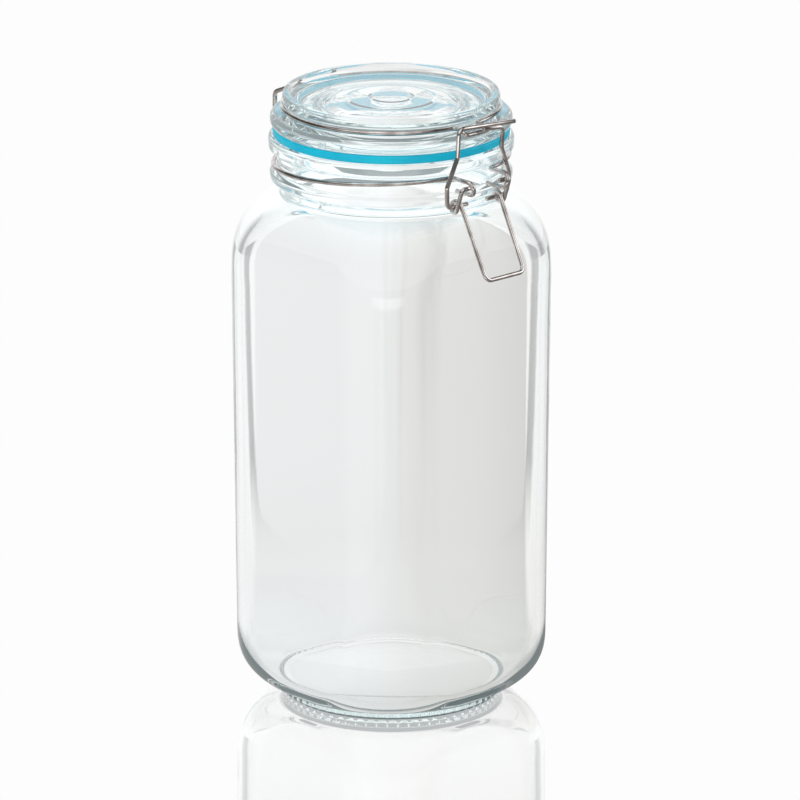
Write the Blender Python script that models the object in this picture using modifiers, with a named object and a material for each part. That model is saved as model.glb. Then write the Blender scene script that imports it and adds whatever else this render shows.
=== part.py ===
"""Square-bodied glass storage jar of about two litres, with a hinged glass lid, a rubber
sealing ring and a bent-wire clasp. It is shut and empty."""

import math

import bmesh
import bpy
from mathutils import Vector

# All sizes are in metres. The clasp is at the front, towards -Y, and the hinge at the back.
MM = 0.001
SIDES = 48                            # flats round every turned or lofted glass section
CORNER_CROWDING = 0.06                # draws those flats towards the four rounded corners

# The glass body, from the table up
FOOT_RADIUS = 44.0 * MM
FOOT_LAND_RADIUS = 36.0 * MM          # inner edge of the ring that the jar stands on
FOOT_HEIGHT = 4.0 * MM
PUNT_RISE = 1.8 * MM                  # how far the underside is pushed up inside the foot
HEEL_RADIUS = 46.0 * MM               # where the rounded bottom meets the foot
HEEL_TOP = 28.0 * MM
BODY_HALF_LOW = 51.96 * MM            # half the distance between opposite flat sides
BODY_REACH_LOW = 62.56 * MM           # from the axis to a rounded corner
BODY_HALF_HIGH = 53.29 * MM
BODY_REACH_HIGH = 64.42 * MM
SHOULDER_BASE = 177.65 * MM
SHOULDER_TOP = 209.63 * MM
NECK_RADIUS = 44.8 * MM
SHOULDER_POWERS = (2.88, 1.27)
HEEL_POWERS = (2.93, 1.62)

# The neck ring, the channel for the wire, and the thick rim
BEAD_RADIUS = 48.8 * MM
BEAD_HEIGHT = 217.6 * MM
CHANNEL_RADIUS = 46.0 * MM
CHANNEL_BASE = 219.2 * MM
CHANNEL_TOP = 227.9 * MM
RIM_RADIUS = 49.4 * MM
RIM_TOP = 233.6 * MM
MOUTH_RADIUS = 39.5 * MM

# The glass thickness inside
WALL = 3.7 * MM
FLOOR_RADIUS = 43.0 * MM
FLOOR_TOP = 8.0 * MM
FLOOR_DOME = 1.4 * MM
INNER_HEEL_TOP = 30.0 * MM
INNER_SHOULDER_BASE = 175.0 * MM
INNER_SHOULDER_TOP = 205.5 * MM
INNER_NECK_RADIUS = 40.3 * MM

# The sealing ring, between the rim and the lid's flange
CLEARANCE = 0.3 * MM
SEAL_INNER = 37.8 * MM
SEAL_OUTER = 47.6 * MM
SEAL_BASE = RIM_TOP + CLEARANCE
SEAL_THICKNESS = 3.3 * MM
SEAL_EDGE = 0.6 * MM

# The lid
FLANGE_BASE = SEAL_BASE + SEAL_THICKNESS + CLEARANCE
FLANGE_RADIUS = 48.7 * MM
FLANGE_EDGE_TOP = 241.3 * MM
LID_RADIUS = 43.75 * MM
LID_TOP = 251.2 * MM
LID_CENTRE_TOP = 249.6 * MM
LID_RING_TOP = 249.0 * MM
LID_VALLEY = 245.9 * MM
LID_GROOVE_RADIUS = 42.4 * MM
LID_UNDERSIDE = 244.6 * MM
PLUG_OUTER = 37.2 * MM
PLUG_INNER = 34.0 * MM
PLUG_BASE = 233.4 * MM

# The wire of the clasp and of the hinge
WIRE_RADIUS = 0.95 * MM
EYE_RADIUS = 2.25 * MM                # centreline of a wire bent into an eye round another
EYELET_RADIUS = 2.8 * MM              # the neck wire's two eyes are wider
BEND_RADIUS = 2.6 * MM

NECK_WIRE_RADIUS = 47.35 * MM
NECK_WIRE_FRONT = 226.6 * MM          # the ring sits higher at the clasp
NECK_WIRE_BACK = 220.6 * MM           # than at the hinge
EYELET_X = 10.3 * MM                  # the neck wire's two eyes
TAIL_X = 8.3 * MM
TAIL_END = 47.2 * MM

HINGE_OUT = 56.0 * MM                 # the hinge bar, behind the axis
HINGE_HEIGHT = NECK_WIRE_BACK
HINGE_HALF = 13.2 * MM
LID_ARM_X = 9.9 * MM
LID_ARM_TOP = 240.8 * MM

LID_WIRE_RADIUS = 43.75 * MM
LID_WIRE_HEIGHT = 245.6 * MM
NOSE_X = 6.0 * MM                     # the lid wire's loop under the clasp
NOSE_OUT = 50.0 * MM
NOSE_HEIGHT = 243.9 * MM

LEVER_PIVOT_OUT = 55.2 * MM           # where the lever turns in the eyes, in front of the axis
LEVER_PIVOT_HEIGHT = NECK_WIRE_FRONT - EYELET_RADIUS
LINK_PIVOT_OUT = 50.0 * MM            # where the link turns in the lever's coils
LINK_PIVOT_HEIGHT = 215.6 * MM
CRANK_X = 12.95 * MM
HANDLE_X = 10.7 * MM
HANDLE_END_X = 10.3 * MM
HANDLE_END_OUT = 66.6 * MM
HANDLE_END_HEIGHT = 188.0 * MM
LEVER_PIN_END = 7.0 * MM

LINK_FOOT_X = 16.2 * MM
LINK_SPREAD_X = 16.9 * MM              # its legs are widest a little above the feet
LINK_TOP_X = 12.0 * MM
LINK_PIN_END = 5.4 * MM
LINK_KINK_LOW = 224.5 * MM
LINK_KINK_HIGH = 236.2 * MM
LINK_BAR_OUT = 52.4 * MM
LINK_BAR_LEFT = 248.1 * MM
LINK_BAR_RIGHT = 245.9 * MM
LINK_STUB_X = 18.2 * MM               # the bar's loose end, past the right leg
LINK_LAP_X = 1.3 * MM                 # the other end, lapped under the bar
LAP_SPACING = 1.5 * MM                # the two are welded where they lie together

# The origin is under the middle of the whole object, so the jar's own axis is a little back.
FRONT_REACH = HANDLE_END_OUT + WIRE_RADIUS
BACK_REACH = HINGE_OUT + EYE_RADIUS + WIRE_RADIUS
JAR_AXIS_Y = (FRONT_REACH - BACK_REACH) / 2


def clear_scene():
    for item in list(bpy.data.objects):
        bpy.data.objects.remove(item)


def new_collection(name):
    group = bpy.data.collections.new(name)
    bpy.context.scene.collection.children.link(group)
    return group


def principled(name, colour, roughness, metallic=0.0, transmission=0.0):
    material = bpy.data.materials.new(name)
    material.use_nodes = True
    shader = material.node_tree.nodes["Principled BSDF"]
    shader.inputs["Base Color"].default_value = (*colour, 1.0)
    shader.inputs["Roughness"].default_value = roughness
    shader.inputs["Metallic"].default_value = metallic
    shader.inputs["Transmission Weight"].default_value = transmission
    return material


def add_empty(name, location, group, parent=None):
    empty = bpy.data.objects.new(name, None)
    empty.empty_display_size = 10 * MM
    empty.location = location
    empty.parent = parent
    group.objects.link(empty)
    return empty


def add_object(name, data, group, material, location, parent):
    thing = bpy.data.objects.new(name, data)
    data.materials.append(material)
    thing.location = location
    thing.parent = parent
    group.objects.link(thing)
    return thing


# The glass body: a loft of sections that change from a circle to a rounded square

def section_radius(half, reach, angle):
    """Distance from the axis to a rounded square's outline, in one direction.

    A circle is the case where the corners reach no further than the sides.
    """
    corner = (half * math.sqrt(2) - reach) / (math.sqrt(2) - 1)
    corner = min(max(corner, 0.0), half)
    straight = half - corner
    turn = abs((angle + math.pi / 4) % (math.pi / 2) - math.pi / 4)
    if math.tan(turn) * half <= straight:
        return half / math.cos(turn)
    along = straight * (math.cos(turn) + math.sin(turn))
    return along + math.sqrt(along * along - 2 * straight * straight + corner * corner)


def section_angles():
    evenly = [math.tau * k / SIDES for k in range(SIDES)]
    return [angle + CORNER_CROWDING * math.sin(4 * angle) for angle in evenly]


def curved_stations(start, end, powers, steps):
    """Stations (half, reach, height) along a smooth bulge, leaving the start straight up or down."""
    stations = []
    for k in range(steps + 1):
        rise = math.sin(math.pi / 2 * k / steps)
        keep = (1 - rise ** powers[0]) ** (1 / powers[1])
        half = end[0] + (start[0] - end[0]) * keep
        reach = end[1] + (start[1] - end[1]) * keep
        stations.append((half, reach, start[2] + (end[2] - start[2]) * rise))
    return stations


def round_stations(pairs):
    return [(radius, radius, height) for radius, height in pairs]


def outer_stations():
    foot = round_stations([
        (FOOT_LAND_RADIUS - 3 * MM, PUNT_RISE * 0.7),
        (FOOT_LAND_RADIUS, 0.0),
        (FOOT_RADIUS - 1.1 * MM, 0.0),
        (FOOT_RADIUS, 0.9 * MM),
        (FOOT_RADIUS + 0.2 * MM, FOOT_HEIGHT - 0.7 * MM),
    ])
    wall_low = (BODY_HALF_LOW, BODY_REACH_LOW, HEEL_TOP)
    wall_high = (BODY_HALF_HIGH, BODY_REACH_HIGH, SHOULDER_BASE)
    heel = curved_stations(wall_low, (HEEL_RADIUS, HEEL_RADIUS, FOOT_HEIGHT), HEEL_POWERS, 7)
    shoulder = curved_stations(wall_high, (NECK_RADIUS, NECK_RADIUS, SHOULDER_TOP), SHOULDER_POWERS, 9)
    neck = round_stations([
        (NECK_RADIUS, BEAD_HEIGHT - 6.2 * MM),
        (NECK_RADIUS + 1.4 * MM, BEAD_HEIGHT - 3.9 * MM),
        (BEAD_RADIUS - 0.8 * MM, BEAD_HEIGHT - 1.4 * MM),
        (BEAD_RADIUS, BEAD_HEIGHT),
        (BEAD_RADIUS - 0.5 * MM, BEAD_HEIGHT + 0.9 * MM),
        (CHANNEL_RADIUS, CHANNEL_BASE),
        (CHANNEL_RADIUS, CHANNEL_TOP),
        (RIM_RADIUS - 0.7 * MM, CHANNEL_TOP + 0.4 * MM),
        (RIM_RADIUS, CHANNEL_TOP + 1.3 * MM),
        (RIM_RADIUS, RIM_TOP - 1.3 * MM),
        (RIM_RADIUS - 0.8 * MM, RIM_TOP - 0.3 * MM),
        (RIM_RADIUS - 2.2 * MM, RIM_TOP),
    ])
    return foot + heel[::-1] + shoulder + neck


def inner_stations():
    mouth = round_stations([
        (MOUTH_RADIUS + 1.4 * MM, RIM_TOP),
        (MOUTH_RADIUS + 0.2 * MM, RIM_TOP - 1.0 * MM),
        (MOUTH_RADIUS, RIM_TOP - 4.0 * MM),
    ])
    high = (BODY_HALF_HIGH - WALL, BODY_REACH_HIGH - WALL, INNER_SHOULDER_BASE)
    low = (BODY_HALF_LOW - WALL, BODY_REACH_LOW - WALL, INNER_HEEL_TOP)
    top = (INNER_NECK_RADIUS, INNER_NECK_RADIUS, INNER_SHOULDER_TOP)
    shoulder = curved_stations(high, top, SHOULDER_POWERS, 7)
    heel = curved_stations(low, (FLOOR_RADIUS, FLOOR_RADIUS, FLOOR_TOP), HEEL_POWERS, 5)
    return mouth + shoulder[::-1] + heel


def loft_closed(stations, bottom_height, top_height):
    """A closed skin through the stations, from a point under the base to one on the inner floor."""
    mesh = bpy.data.meshes.new("jar_glass")
    shell = bmesh.new()
    rings = []
    for half, reach, height in stations:
        ring = []
        for angle in section_angles():
            radius = section_radius(half, reach, angle)
            ring.append(shell.verts.new((radius * math.cos(angle), radius * math.sin(angle), height)))
        rings.append(ring)
    first = shell.verts.new((0, 0, bottom_height))
    last = shell.verts.new((0, 0, top_height))
    for k in range(SIDES):
        after = (k + 1) % SIDES
        shell.faces.new((first, rings[0][after], rings[0][k]))
        shell.faces.new((last, rings[-1][k], rings[-1][after]))
        for lower, upper in zip(rings, rings[1:]):
            shell.faces.new((lower[k], lower[after], upper[after], upper[k]))
    shell.to_mesh(mesh)
    shell.free()
    return mesh


def build_jar_glass(group, material, parent):
    mesh = loft_closed(outer_stations() + inner_stations(), PUNT_RISE, FLOOR_TOP + FLOOR_DOME)
    mesh.shade_smooth()
    mesh.set_sharp_from_angle(angle=math.radians(40))
    return add_object("jar_glass", mesh, group, material, (0, 0, 0), parent)


# The turned pieces: the lid and the seal

def turned(name, profile, closed, group, material, location, parent):
    """Spins a profile of (radius, height) pairs, given down its outer side, round the jar's axis."""
    mesh = bpy.data.meshes.new(name)
    points = [(radius, 0, height) for radius, height in profile]
    edges = [(k, k + 1) for k in range(len(points) - 1)]
    if closed:
        edges.append((len(points) - 1, 0))
    mesh.from_pydata(points, edges, [])
    thing = add_object(name, mesh, group, material, location, parent)
    screw = thing.modifiers.new("spin", "SCREW")
    screw.angle = math.tau
    screw.steps = SIDES
    screw.render_steps = SIDES
    screw.use_merge_vertices = True
    screw.merge_threshold = 0.00001
    screw.use_smooth_shade = True
    return thing


def lid_profile():
    outer = [
        (0.0, LID_CENTRE_TOP),
        (17.0 * MM, LID_CENTRE_TOP),
        (18.5 * MM, LID_RING_TOP),
        (30.0 * MM, LID_RING_TOP),
        (31.6 * MM, LID_RING_TOP - 0.9 * MM),
        (33.0 * MM, LID_VALLEY + 0.4 * MM),
        (36.0 * MM, LID_VALLEY),
        (38.6 * MM, LID_VALLEY + 1.4 * MM),
        (40.0 * MM, LID_TOP - 1.7 * MM),
        (41.4 * MM, LID_TOP),
        (LID_RADIUS - 0.75 * MM, LID_TOP - 0.3 * MM),
        (LID_RADIUS, LID_TOP - 1.5 * MM),
        (LID_RADIUS, LID_WIRE_HEIGHT + 1.9 * MM),
        (LID_GROOVE_RADIUS, LID_WIRE_HEIGHT + 1.0 * MM),
        (LID_GROOVE_RADIUS, LID_WIRE_HEIGHT - 1.0 * MM),
        (FLANGE_RADIUS - 2.5 * MM, FLANGE_EDGE_TOP + 2.2 * MM),
        (FLANGE_RADIUS - 0.6 * MM, FLANGE_EDGE_TOP + 1.3 * MM),
        (FLANGE_RADIUS, FLANGE_EDGE_TOP),
        (FLANGE_RADIUS, FLANGE_BASE + 1.8 * MM),
        (FLANGE_RADIUS - 0.6 * MM, FLANGE_BASE + 0.5 * MM),
        (FLANGE_RADIUS - 1.7 * MM, FLANGE_BASE),
    ]
    underside = [
        (PLUG_OUTER, FLANGE_BASE),
        (PLUG_OUTER - 0.2 * MM, PLUG_BASE + 1.2 * MM),
        (PLUG_OUTER - 1.4 * MM, PLUG_BASE),
        (PLUG_INNER, PLUG_BASE + 0.6 * MM),
        (PLUG_INNER - 1.2 * MM, FLANGE_BASE + 0.6 * MM),
        (PLUG_INNER - 2.6 * MM, LID_UNDERSIDE - 1.8 * MM),
        (PLUG_INNER - 6.0 * MM, LID_UNDERSIDE - 0.3 * MM),
        (0.0, LID_UNDERSIDE),
    ]
    return outer + underside


def build_lid_glass(group, material, location, parent):
    return turned("lid_glass", lid_profile(), False, group, material, location, parent)


def build_seal(group, material, location, parent):
    top = SEAL_BASE + SEAL_THICKNESS
    profile = [
        (SEAL_INNER + SEAL_EDGE, top),
        (SEAL_OUTER - SEAL_EDGE, top),
        (SEAL_OUTER, top - SEAL_EDGE),
        (SEAL_OUTER, SEAL_BASE + SEAL_EDGE),
        (SEAL_OUTER - SEAL_EDGE, SEAL_BASE),
        (SEAL_INNER + SEAL_EDGE, SEAL_BASE),
        (SEAL_INNER, SEAL_BASE + SEAL_EDGE),
        (SEAL_INNER, top - SEAL_EDGE),
    ]
    return turned("seal", profile, True, group, material, location, parent)


# The bent wires. A place on them is given as across, out in front of the axis, and up.

def at(across, out, up):
    return Vector((across, -out, up))


def softened(points, bend=BEND_RADIUS, step_deg=30.0):
    """The same route with each corner replaced by an arc."""
    route = [points[0]]
    for before, corner, after in zip(points, points[1:], points[2:]):
        back = before - corner
        ahead = after - corner
        opening = back.angle(ahead)
        turn = math.pi - opening
        if turn < math.radians(4):
            route.append(corner)
            continue
        tangent = bend / math.tan(opening / 2)
        tangent = min(tangent, 0.48 * back.length, 0.48 * ahead.length)
        radius = tangent * math.tan(opening / 2)
        middle = (back.normalized() + ahead.normalized()).normalized()
        centre = corner + middle * (radius / math.sin(opening / 2))
        first = corner + back.normalized() * tangent - centre
        last = corner + ahead.normalized() * tangent - centre
        steps = max(1, math.ceil(turn / math.radians(step_deg)))
        for k in range(steps + 1):
            share = k / steps
            mix = first * math.sin((1 - share) * turn) + last * math.sin(share * turn)
            route.append(centre + mix / math.sin(turn))
    route.append(points[-1])
    return route


def eye(out, up, start_deg, sweep_deg, across_from, across_to, radius=EYE_RADIUS, step_deg=30.0):
    """Points round a crosswise pin, seen from its side; 0 is outwards and 90 is up."""
    steps = math.ceil(abs(sweep_deg) / step_deg)
    points = []
    for k in range(steps + 1):
        share = k / steps
        angle = math.radians(start_deg + sweep_deg * share)
        across = across_from + (across_to - across_from) * share
        points.append(at(across, out + radius * math.cos(angle), up + radius * math.sin(angle)))
    return points


def ring_arc(radius, across_front, across_back, height_at, steps):
    """Points round the left half of a ring, from its front to its back, at evenly spaced angles."""
    start = math.asin(across_front / radius)
    end = math.pi - math.asin(across_back / radius)
    points = []
    for k in range(steps + 1):
        angle = start + (end - start) * k / steps
        out = radius * math.cos(angle)
        points.append(at(-radius * math.sin(angle), out, height_at(out)))
    return points


def mirrored(points):
    """The right-hand half of a route that crosses the middle, in running order."""
    return [Vector((-point.x, point.y, point.z)) for point in reversed(points)]


def wire(name, routes, group, material, pivot, parent, parent_pivot):
    """A round wire along one or more routes, with its origin at the pivot."""
    curve = bpy.data.curves.new(name, "CURVE")
    curve.dimensions = "3D"
    curve.bevel_depth = WIRE_RADIUS
    curve.bevel_resolution = 2
    curve.use_fill_caps = True
    for route in routes:
        spline = curve.splines.new("POLY")
        spline.points.add(len(route) - 1)
        for slot, place in zip(spline.points, route):
            slot.co = (*(place - pivot), 1.0)
    return add_object(name, curve, group, material, pivot - parent_pivot, parent)


def neck_wire_height(out):
    middle = (NECK_WIRE_FRONT + NECK_WIRE_BACK) / 2
    return middle + (NECK_WIRE_FRONT - NECK_WIRE_BACK) / 2 * out / NECK_WIRE_RADIUS


def lid_wire_height(out):
    return LID_WIRE_HEIGHT


def neck_wire_route():
    """From the left tail, round the left eye, round the neck, through the hinge bar and back."""
    round_neck = ring_arc(NECK_WIRE_RADIUS, EYELET_X + 3 * MM, HINGE_HALF + 3 * MM, neck_wire_height, 20)
    tail = at(-TAIL_X, TAIL_END, LEVER_PIVOT_HEIGHT - EYELET_RADIUS)
    eyelet = eye(LEVER_PIVOT_OUT, LEVER_PIVOT_HEIGHT, -90, 180, -TAIL_X, -EYELET_X, EYELET_RADIUS)
    front = softened([
        eyelet[-1],
        at(-EYELET_X, NECK_WIRE_RADIUS - 0.9 * MM, NECK_WIRE_FRONT),
        round_neck[0],
    ])
    back = softened([
        round_neck[-1],
        at(-HINGE_HALF, 1.6 * MM - NECK_WIRE_RADIUS, HINGE_HEIGHT),
        at(-HINGE_HALF, -HINGE_OUT, HINGE_HEIGHT),
        at(0, -HINGE_OUT, HINGE_HEIGHT),
    ])
    half = [tail] + eyelet + front[1:-1] + round_neck + back[1:-1]
    return half + mirrored(half)


def lid_wire_route():
    """From the left hinge eye up into the lid's groove, forward to the nose, and back."""
    round_lid = ring_arc(LID_WIRE_RADIUS, NOSE_X + 3 * MM, LID_ARM_X + 3 * MM, lid_wire_height, 20)
    hinge_eye = eye(-HINGE_OUT, HINGE_HEIGHT, 90, -270, -LID_ARM_X, -LID_ARM_X)
    arm = softened([
        hinge_eye[-1],
        at(-LID_ARM_X, -HINGE_OUT - EYE_RADIUS, LID_ARM_TOP),
        at(-LID_ARM_X, -LID_WIRE_RADIUS - 4 * MM, LID_WIRE_HEIGHT - 0.2 * MM),
        at(-LID_ARM_X, -LID_WIRE_RADIUS + 1 * MM, LID_WIRE_HEIGHT),
        round_lid[-1],
    ])
    nose = softened([
        round_lid[0],
        at(-NOSE_X, LID_WIRE_RADIUS - 0.4 * MM, LID_WIRE_HEIGHT),
        at(-NOSE_X, LID_WIRE_RADIUS + 3.8 * MM, LID_WIRE_HEIGHT),
        at(-NOSE_X, NOSE_OUT, NOSE_HEIGHT),
        at(0, NOSE_OUT, NOSE_HEIGHT),
    ])
    half = hinge_eye + arm[1:-1] + round_lid[::-1] + nose[1:-1]
    return half + mirrored(half)


def lever_route():
    """From the left pin down the crank, round the coil, down the handle and back."""
    down = math.atan2(LINK_PIVOT_HEIGHT - LEVER_PIVOT_HEIGHT, LINK_PIVOT_OUT - LEVER_PIVOT_OUT)
    crank = math.hypot(LINK_PIVOT_HEIGHT - LEVER_PIVOT_HEIGHT, LINK_PIVOT_OUT - LEVER_PIVOT_OUT)
    away = math.atan2(HANDLE_END_HEIGHT - LINK_PIVOT_HEIGHT, HANDLE_END_OUT - LINK_PIVOT_OUT)
    leg = math.hypot(HANDLE_END_HEIGHT - LINK_PIVOT_HEIGHT, HANDLE_END_OUT - LINK_PIVOT_OUT)
    arrive = math.degrees(down + math.asin(EYE_RADIUS / crank))
    leave = math.degrees(away - math.asin(EYE_RADIUS / leg))
    coil = eye(LINK_PIVOT_OUT, LINK_PIVOT_HEIGHT, arrive + 90, -((arrive - leave) % 360),
               -CRANK_X, -HANDLE_X)
    pin = softened([
        at(-LEVER_PIN_END, LEVER_PIVOT_OUT, LEVER_PIVOT_HEIGHT),
        at(-CRANK_X, LEVER_PIVOT_OUT, LEVER_PIVOT_HEIGHT),
        coil[0],
    ], bend=1.6 * MM)
    handle = softened([
        coil[-1],
        at(-HANDLE_END_X, HANDLE_END_OUT, HANDLE_END_HEIGHT),
        at(0, HANDLE_END_OUT, HANDLE_END_HEIGHT),
    ], bend=2.8 * MM)
    half = pin[:-1] + coil + handle[1:-1]
    return half + mirrored(half)


def link_leg_out(up):
    share = (up - LINK_PIVOT_HEIGHT) / (LINK_BAR_LEFT - LINK_PIVOT_HEIGHT)
    return LINK_PIVOT_OUT + (LINK_BAR_OUT - LINK_PIVOT_OUT) * share


def link_bar_height(across):
    share = (across + LINK_TOP_X) / (LINK_STUB_X + LINK_TOP_X)
    return LINK_BAR_LEFT + (LINK_BAR_RIGHT - LINK_BAR_LEFT) * share


def link_routes():
    """Two bent wires, each from its pin up a leg; they lie together along the bar."""
    def leg(side):
        return [
            at(side * LINK_PIN_END, LINK_PIVOT_OUT, LINK_PIVOT_HEIGHT),
            at(side * LINK_FOOT_X, LINK_PIVOT_OUT, LINK_PIVOT_HEIGHT),
            at(side * LINK_SPREAD_X, link_leg_out(LINK_KINK_LOW), LINK_KINK_LOW),
            at(side * LINK_TOP_X, link_leg_out(LINK_KINK_HIGH), LINK_KINK_HIGH),
        ]

    upper = leg(-1) + [
        at(-LINK_TOP_X, LINK_BAR_OUT, link_bar_height(-LINK_TOP_X)),
        at(LINK_STUB_X, LINK_BAR_OUT, link_bar_height(LINK_STUB_X)),
    ]
    lower = leg(1) + [
        at(LINK_TOP_X, LINK_BAR_OUT, link_bar_height(LINK_TOP_X) - LAP_SPACING),
        at(LINK_LAP_X, LINK_BAR_OUT, link_bar_height(LINK_LAP_X) - LAP_SPACING),
    ]
    return softened(upper), softened(lower)


def solid_from_wire(curve_object, group):
    """Turns a wire into a closed mesh in the same place, with its end caps welded on."""
    graph = bpy.context.evaluated_depsgraph_get()
    mesh = bpy.data.meshes.new_from_object(curve_object.evaluated_get(graph))
    surface = bmesh.new()
    surface.from_mesh(mesh)
    bmesh.ops.remove_doubles(surface, verts=surface.verts, dist=0.001 * MM)
    surface.to_mesh(mesh)
    surface.free()
    solid = bpy.data.objects.new(curve_object.name + "_solid", mesh)
    solid.parent = curve_object.parent
    solid.location = curve_object.location
    group.objects.link(solid)
    bpy.data.objects.remove(curve_object)
    return solid


def build_link(group, cutters, material, pivot, parent, parent_pivot):
    upper_route, lower_route = link_routes()
    upper = wire("link_upper", [upper_route], group, material, pivot, parent, parent_pivot)
    lower = wire("link_lower", [lower_route], cutters, material, pivot, parent, parent_pivot)
    bpy.context.view_layer.update()
    link = solid_from_wire(upper, group)
    lapped = solid_from_wire(lower, cutters)
    link.name = "link"
    weld = link.modifiers.new("weld_at_the_lap", "BOOLEAN")
    weld.operation = "UNION"
    weld.object = lapped
    lapped.hide_render = True
    lapped.display_type = "WIRE"
    return link


def build():
    clear_scene()
    group = new_collection("clip_top_jar")
    cutters = new_collection("joined_pieces")
    glass = principled("clear_glass", (0.93, 0.97, 0.96), 0.03, transmission=1.0)
    rubber = principled("teal_silicone", (0.02, 0.55, 0.66), 0.42)
    steel = principled("polished_steel_wire", (0.62, 0.60, 0.58), 0.18, metallic=1.0)

    hinge = at(0, -HINGE_OUT, HINGE_HEIGHT)
    lever_pivot = at(0, LEVER_PIVOT_OUT, LEVER_PIVOT_HEIGHT)
    link_pivot = at(0, LINK_PIVOT_OUT, LINK_PIVOT_HEIGHT)
    nowhere = Vector((0, 0, 0))
    axis = add_empty("jar_axis", (0, JAR_AXIS_Y, 0), group)
    lid_axis = add_empty("lid_hinge_axis", hinge, group, axis)

    build_jar_glass(group, glass, axis)
    build_lid_glass(group, glass, -hinge, lid_axis)
    build_seal(group, rubber, -hinge, lid_axis)
    wire("neck_wire", [neck_wire_route()], group, steel, nowhere, axis, nowhere)
    wire("lid_wire", [lid_wire_route()], group, steel, nowhere, lid_axis, hinge)
    lever = wire("lever", [lever_route()], group, steel, lever_pivot, axis, nowhere)
    build_link(group, cutters, steel, link_pivot, lever, lever_pivot)


build()
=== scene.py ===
# %% [markdown]
# # A clip top storage jar in a white studio
# The real object is a pressed glass jar of about two litres. Its body is a square with round
# corners, its neck and lid are round, and two bent wires hinge the lid and clamp it onto a
# rubber ring. It is empty and shut. The solids that carry and move everything are already made,
# so this lesson only dresses them: it rebuilds each one with finer curves at the same place and
# size, gives it a finish, and lights it as glass is lit for a catalogue.

import math

import bmesh
import bpy
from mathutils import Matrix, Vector


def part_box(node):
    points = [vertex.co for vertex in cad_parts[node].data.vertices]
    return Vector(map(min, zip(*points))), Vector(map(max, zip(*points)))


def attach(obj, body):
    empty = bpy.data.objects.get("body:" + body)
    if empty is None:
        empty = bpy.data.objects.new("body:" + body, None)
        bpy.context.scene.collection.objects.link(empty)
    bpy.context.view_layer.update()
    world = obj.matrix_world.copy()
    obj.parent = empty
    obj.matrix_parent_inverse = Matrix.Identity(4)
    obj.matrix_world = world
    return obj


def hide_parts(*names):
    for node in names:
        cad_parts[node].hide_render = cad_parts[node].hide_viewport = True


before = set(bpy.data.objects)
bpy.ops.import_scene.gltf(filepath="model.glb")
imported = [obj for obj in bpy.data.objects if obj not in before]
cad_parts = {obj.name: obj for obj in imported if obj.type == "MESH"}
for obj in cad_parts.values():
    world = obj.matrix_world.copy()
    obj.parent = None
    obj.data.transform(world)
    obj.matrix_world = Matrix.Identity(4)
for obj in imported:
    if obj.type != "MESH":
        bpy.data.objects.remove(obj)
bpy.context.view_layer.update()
print("solids:", sorted(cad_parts))

# %% [markdown]
# The jar's own axis is not at the origin, because the clasp's handle reaches further out than the
# hinge does. It could be typed in as a number, but it is safer to measure it: the lid is round,
# so the middle of its box is a point on the axis.

# %% Find the jar's axis
MM = 0.001
lid_low, lid_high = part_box("lid_glass")
JAR_AXIS_Y = (lid_low.y + lid_high.y) / 2
print("the axis is %.2f mm behind the origin" % (JAR_AXIS_Y / MM))


def at(across, out, up):
    """A point in front of the axis: across to the right, out towards the clasp, and up."""
    return Vector((across, JAR_AXIS_Y - out, up))


# %% [markdown]
# ## Rounding a line
# Pressed glass and bent wire have no sharp corners. One helper serves both: it takes a line with
# corners and replaces each one with an arc. The profile of the lid is rounded with it in the
# plane, and the routes of the wires in space. A bevel modifier could round a finished mesh
# instead, but here each corner has its own radius, and the arc's points fall exactly on it.

# %% An arc at each corner
def softened(points, bends, step_deg=8.0):
    """The line with each inner corner replaced by an arc of the given radius."""
    if not isinstance(bends, (list, tuple)):
        bends = [bends] * len(points)
    line = [points[0]]
    for before, corner, after, bend in zip(points, points[1:], points[2:], bends[1:]):
        back = before - corner
        ahead = after - corner
        opening = back.angle(ahead)
        turn = math.pi - opening
        if turn < math.radians(1.5) or bend <= 0:
            line.append(corner)
            continue
        reach = bend / math.tan(opening / 2)
        reach = min(reach, 0.49 * back.length, 0.49 * ahead.length)
        radius = reach * math.tan(opening / 2)
        inwards = (back.normalized() + ahead.normalized()).normalized()
        centre = corner + inwards * (radius / math.sin(opening / 2))
        first = corner + back.normalized() * reach - centre
        last = corner + ahead.normalized() * reach - centre
        steps = max(2, math.ceil(turn / math.radians(step_deg)))
        for k in range(steps + 1):
            share = k / steps
            mix = first * math.sin((1 - share) * turn) + last * math.sin(share * turn)
            line.append(centre + mix / math.sin(turn))
    line.append(points[-1])
    return line


def rounded_profile(rows):
    """Points (radius, height) of a profile, from rows of (radius, height, rounding) in mm."""
    corners = [Vector((radius * MM, 0, height * MM)) for radius, height, rounding in rows]
    roundings = [rounding * MM for radius, height, rounding in rows]
    return [(point.x, point.z) for point in softened(corners, roundings)]


# %% [markdown]
# ## The glass body
# From the table up, the jar is a round foot, a heel that swells into a rounded square, nearly
# straight walls, a soft shoulder, and a round neck with a bead, a channel for the wire and a
# thick rim. A lathe can't make it, because the section changes from a circle to a square and
# back. So it is a loft: one ring of points for each height, all with the same count, joined by
# four-sided faces. Each ring is told by two numbers, half the width between its flat sides and
# the reach from the axis to a corner. A circle is the case where both are the same.

# %% The outline of one section
RING_POINTS = 256


def section_radius(half, reach, angle):
    """Distance from the axis to a rounded square's outline in one direction."""
    corner = (half * math.sqrt(2) - reach) / (math.sqrt(2) - 1)
    corner = min(max(corner, 0.0), half)
    straight = half - corner
    turn = abs((angle + math.pi / 4) % (math.pi / 2) - math.pi / 4)
    if math.tan(turn) * half <= straight:
        return half / math.cos(turn)
    along = straight * (math.cos(turn) + math.sin(turn))
    return along + math.sqrt(along * along - 2 * straight * straight + corner * corner)


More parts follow.
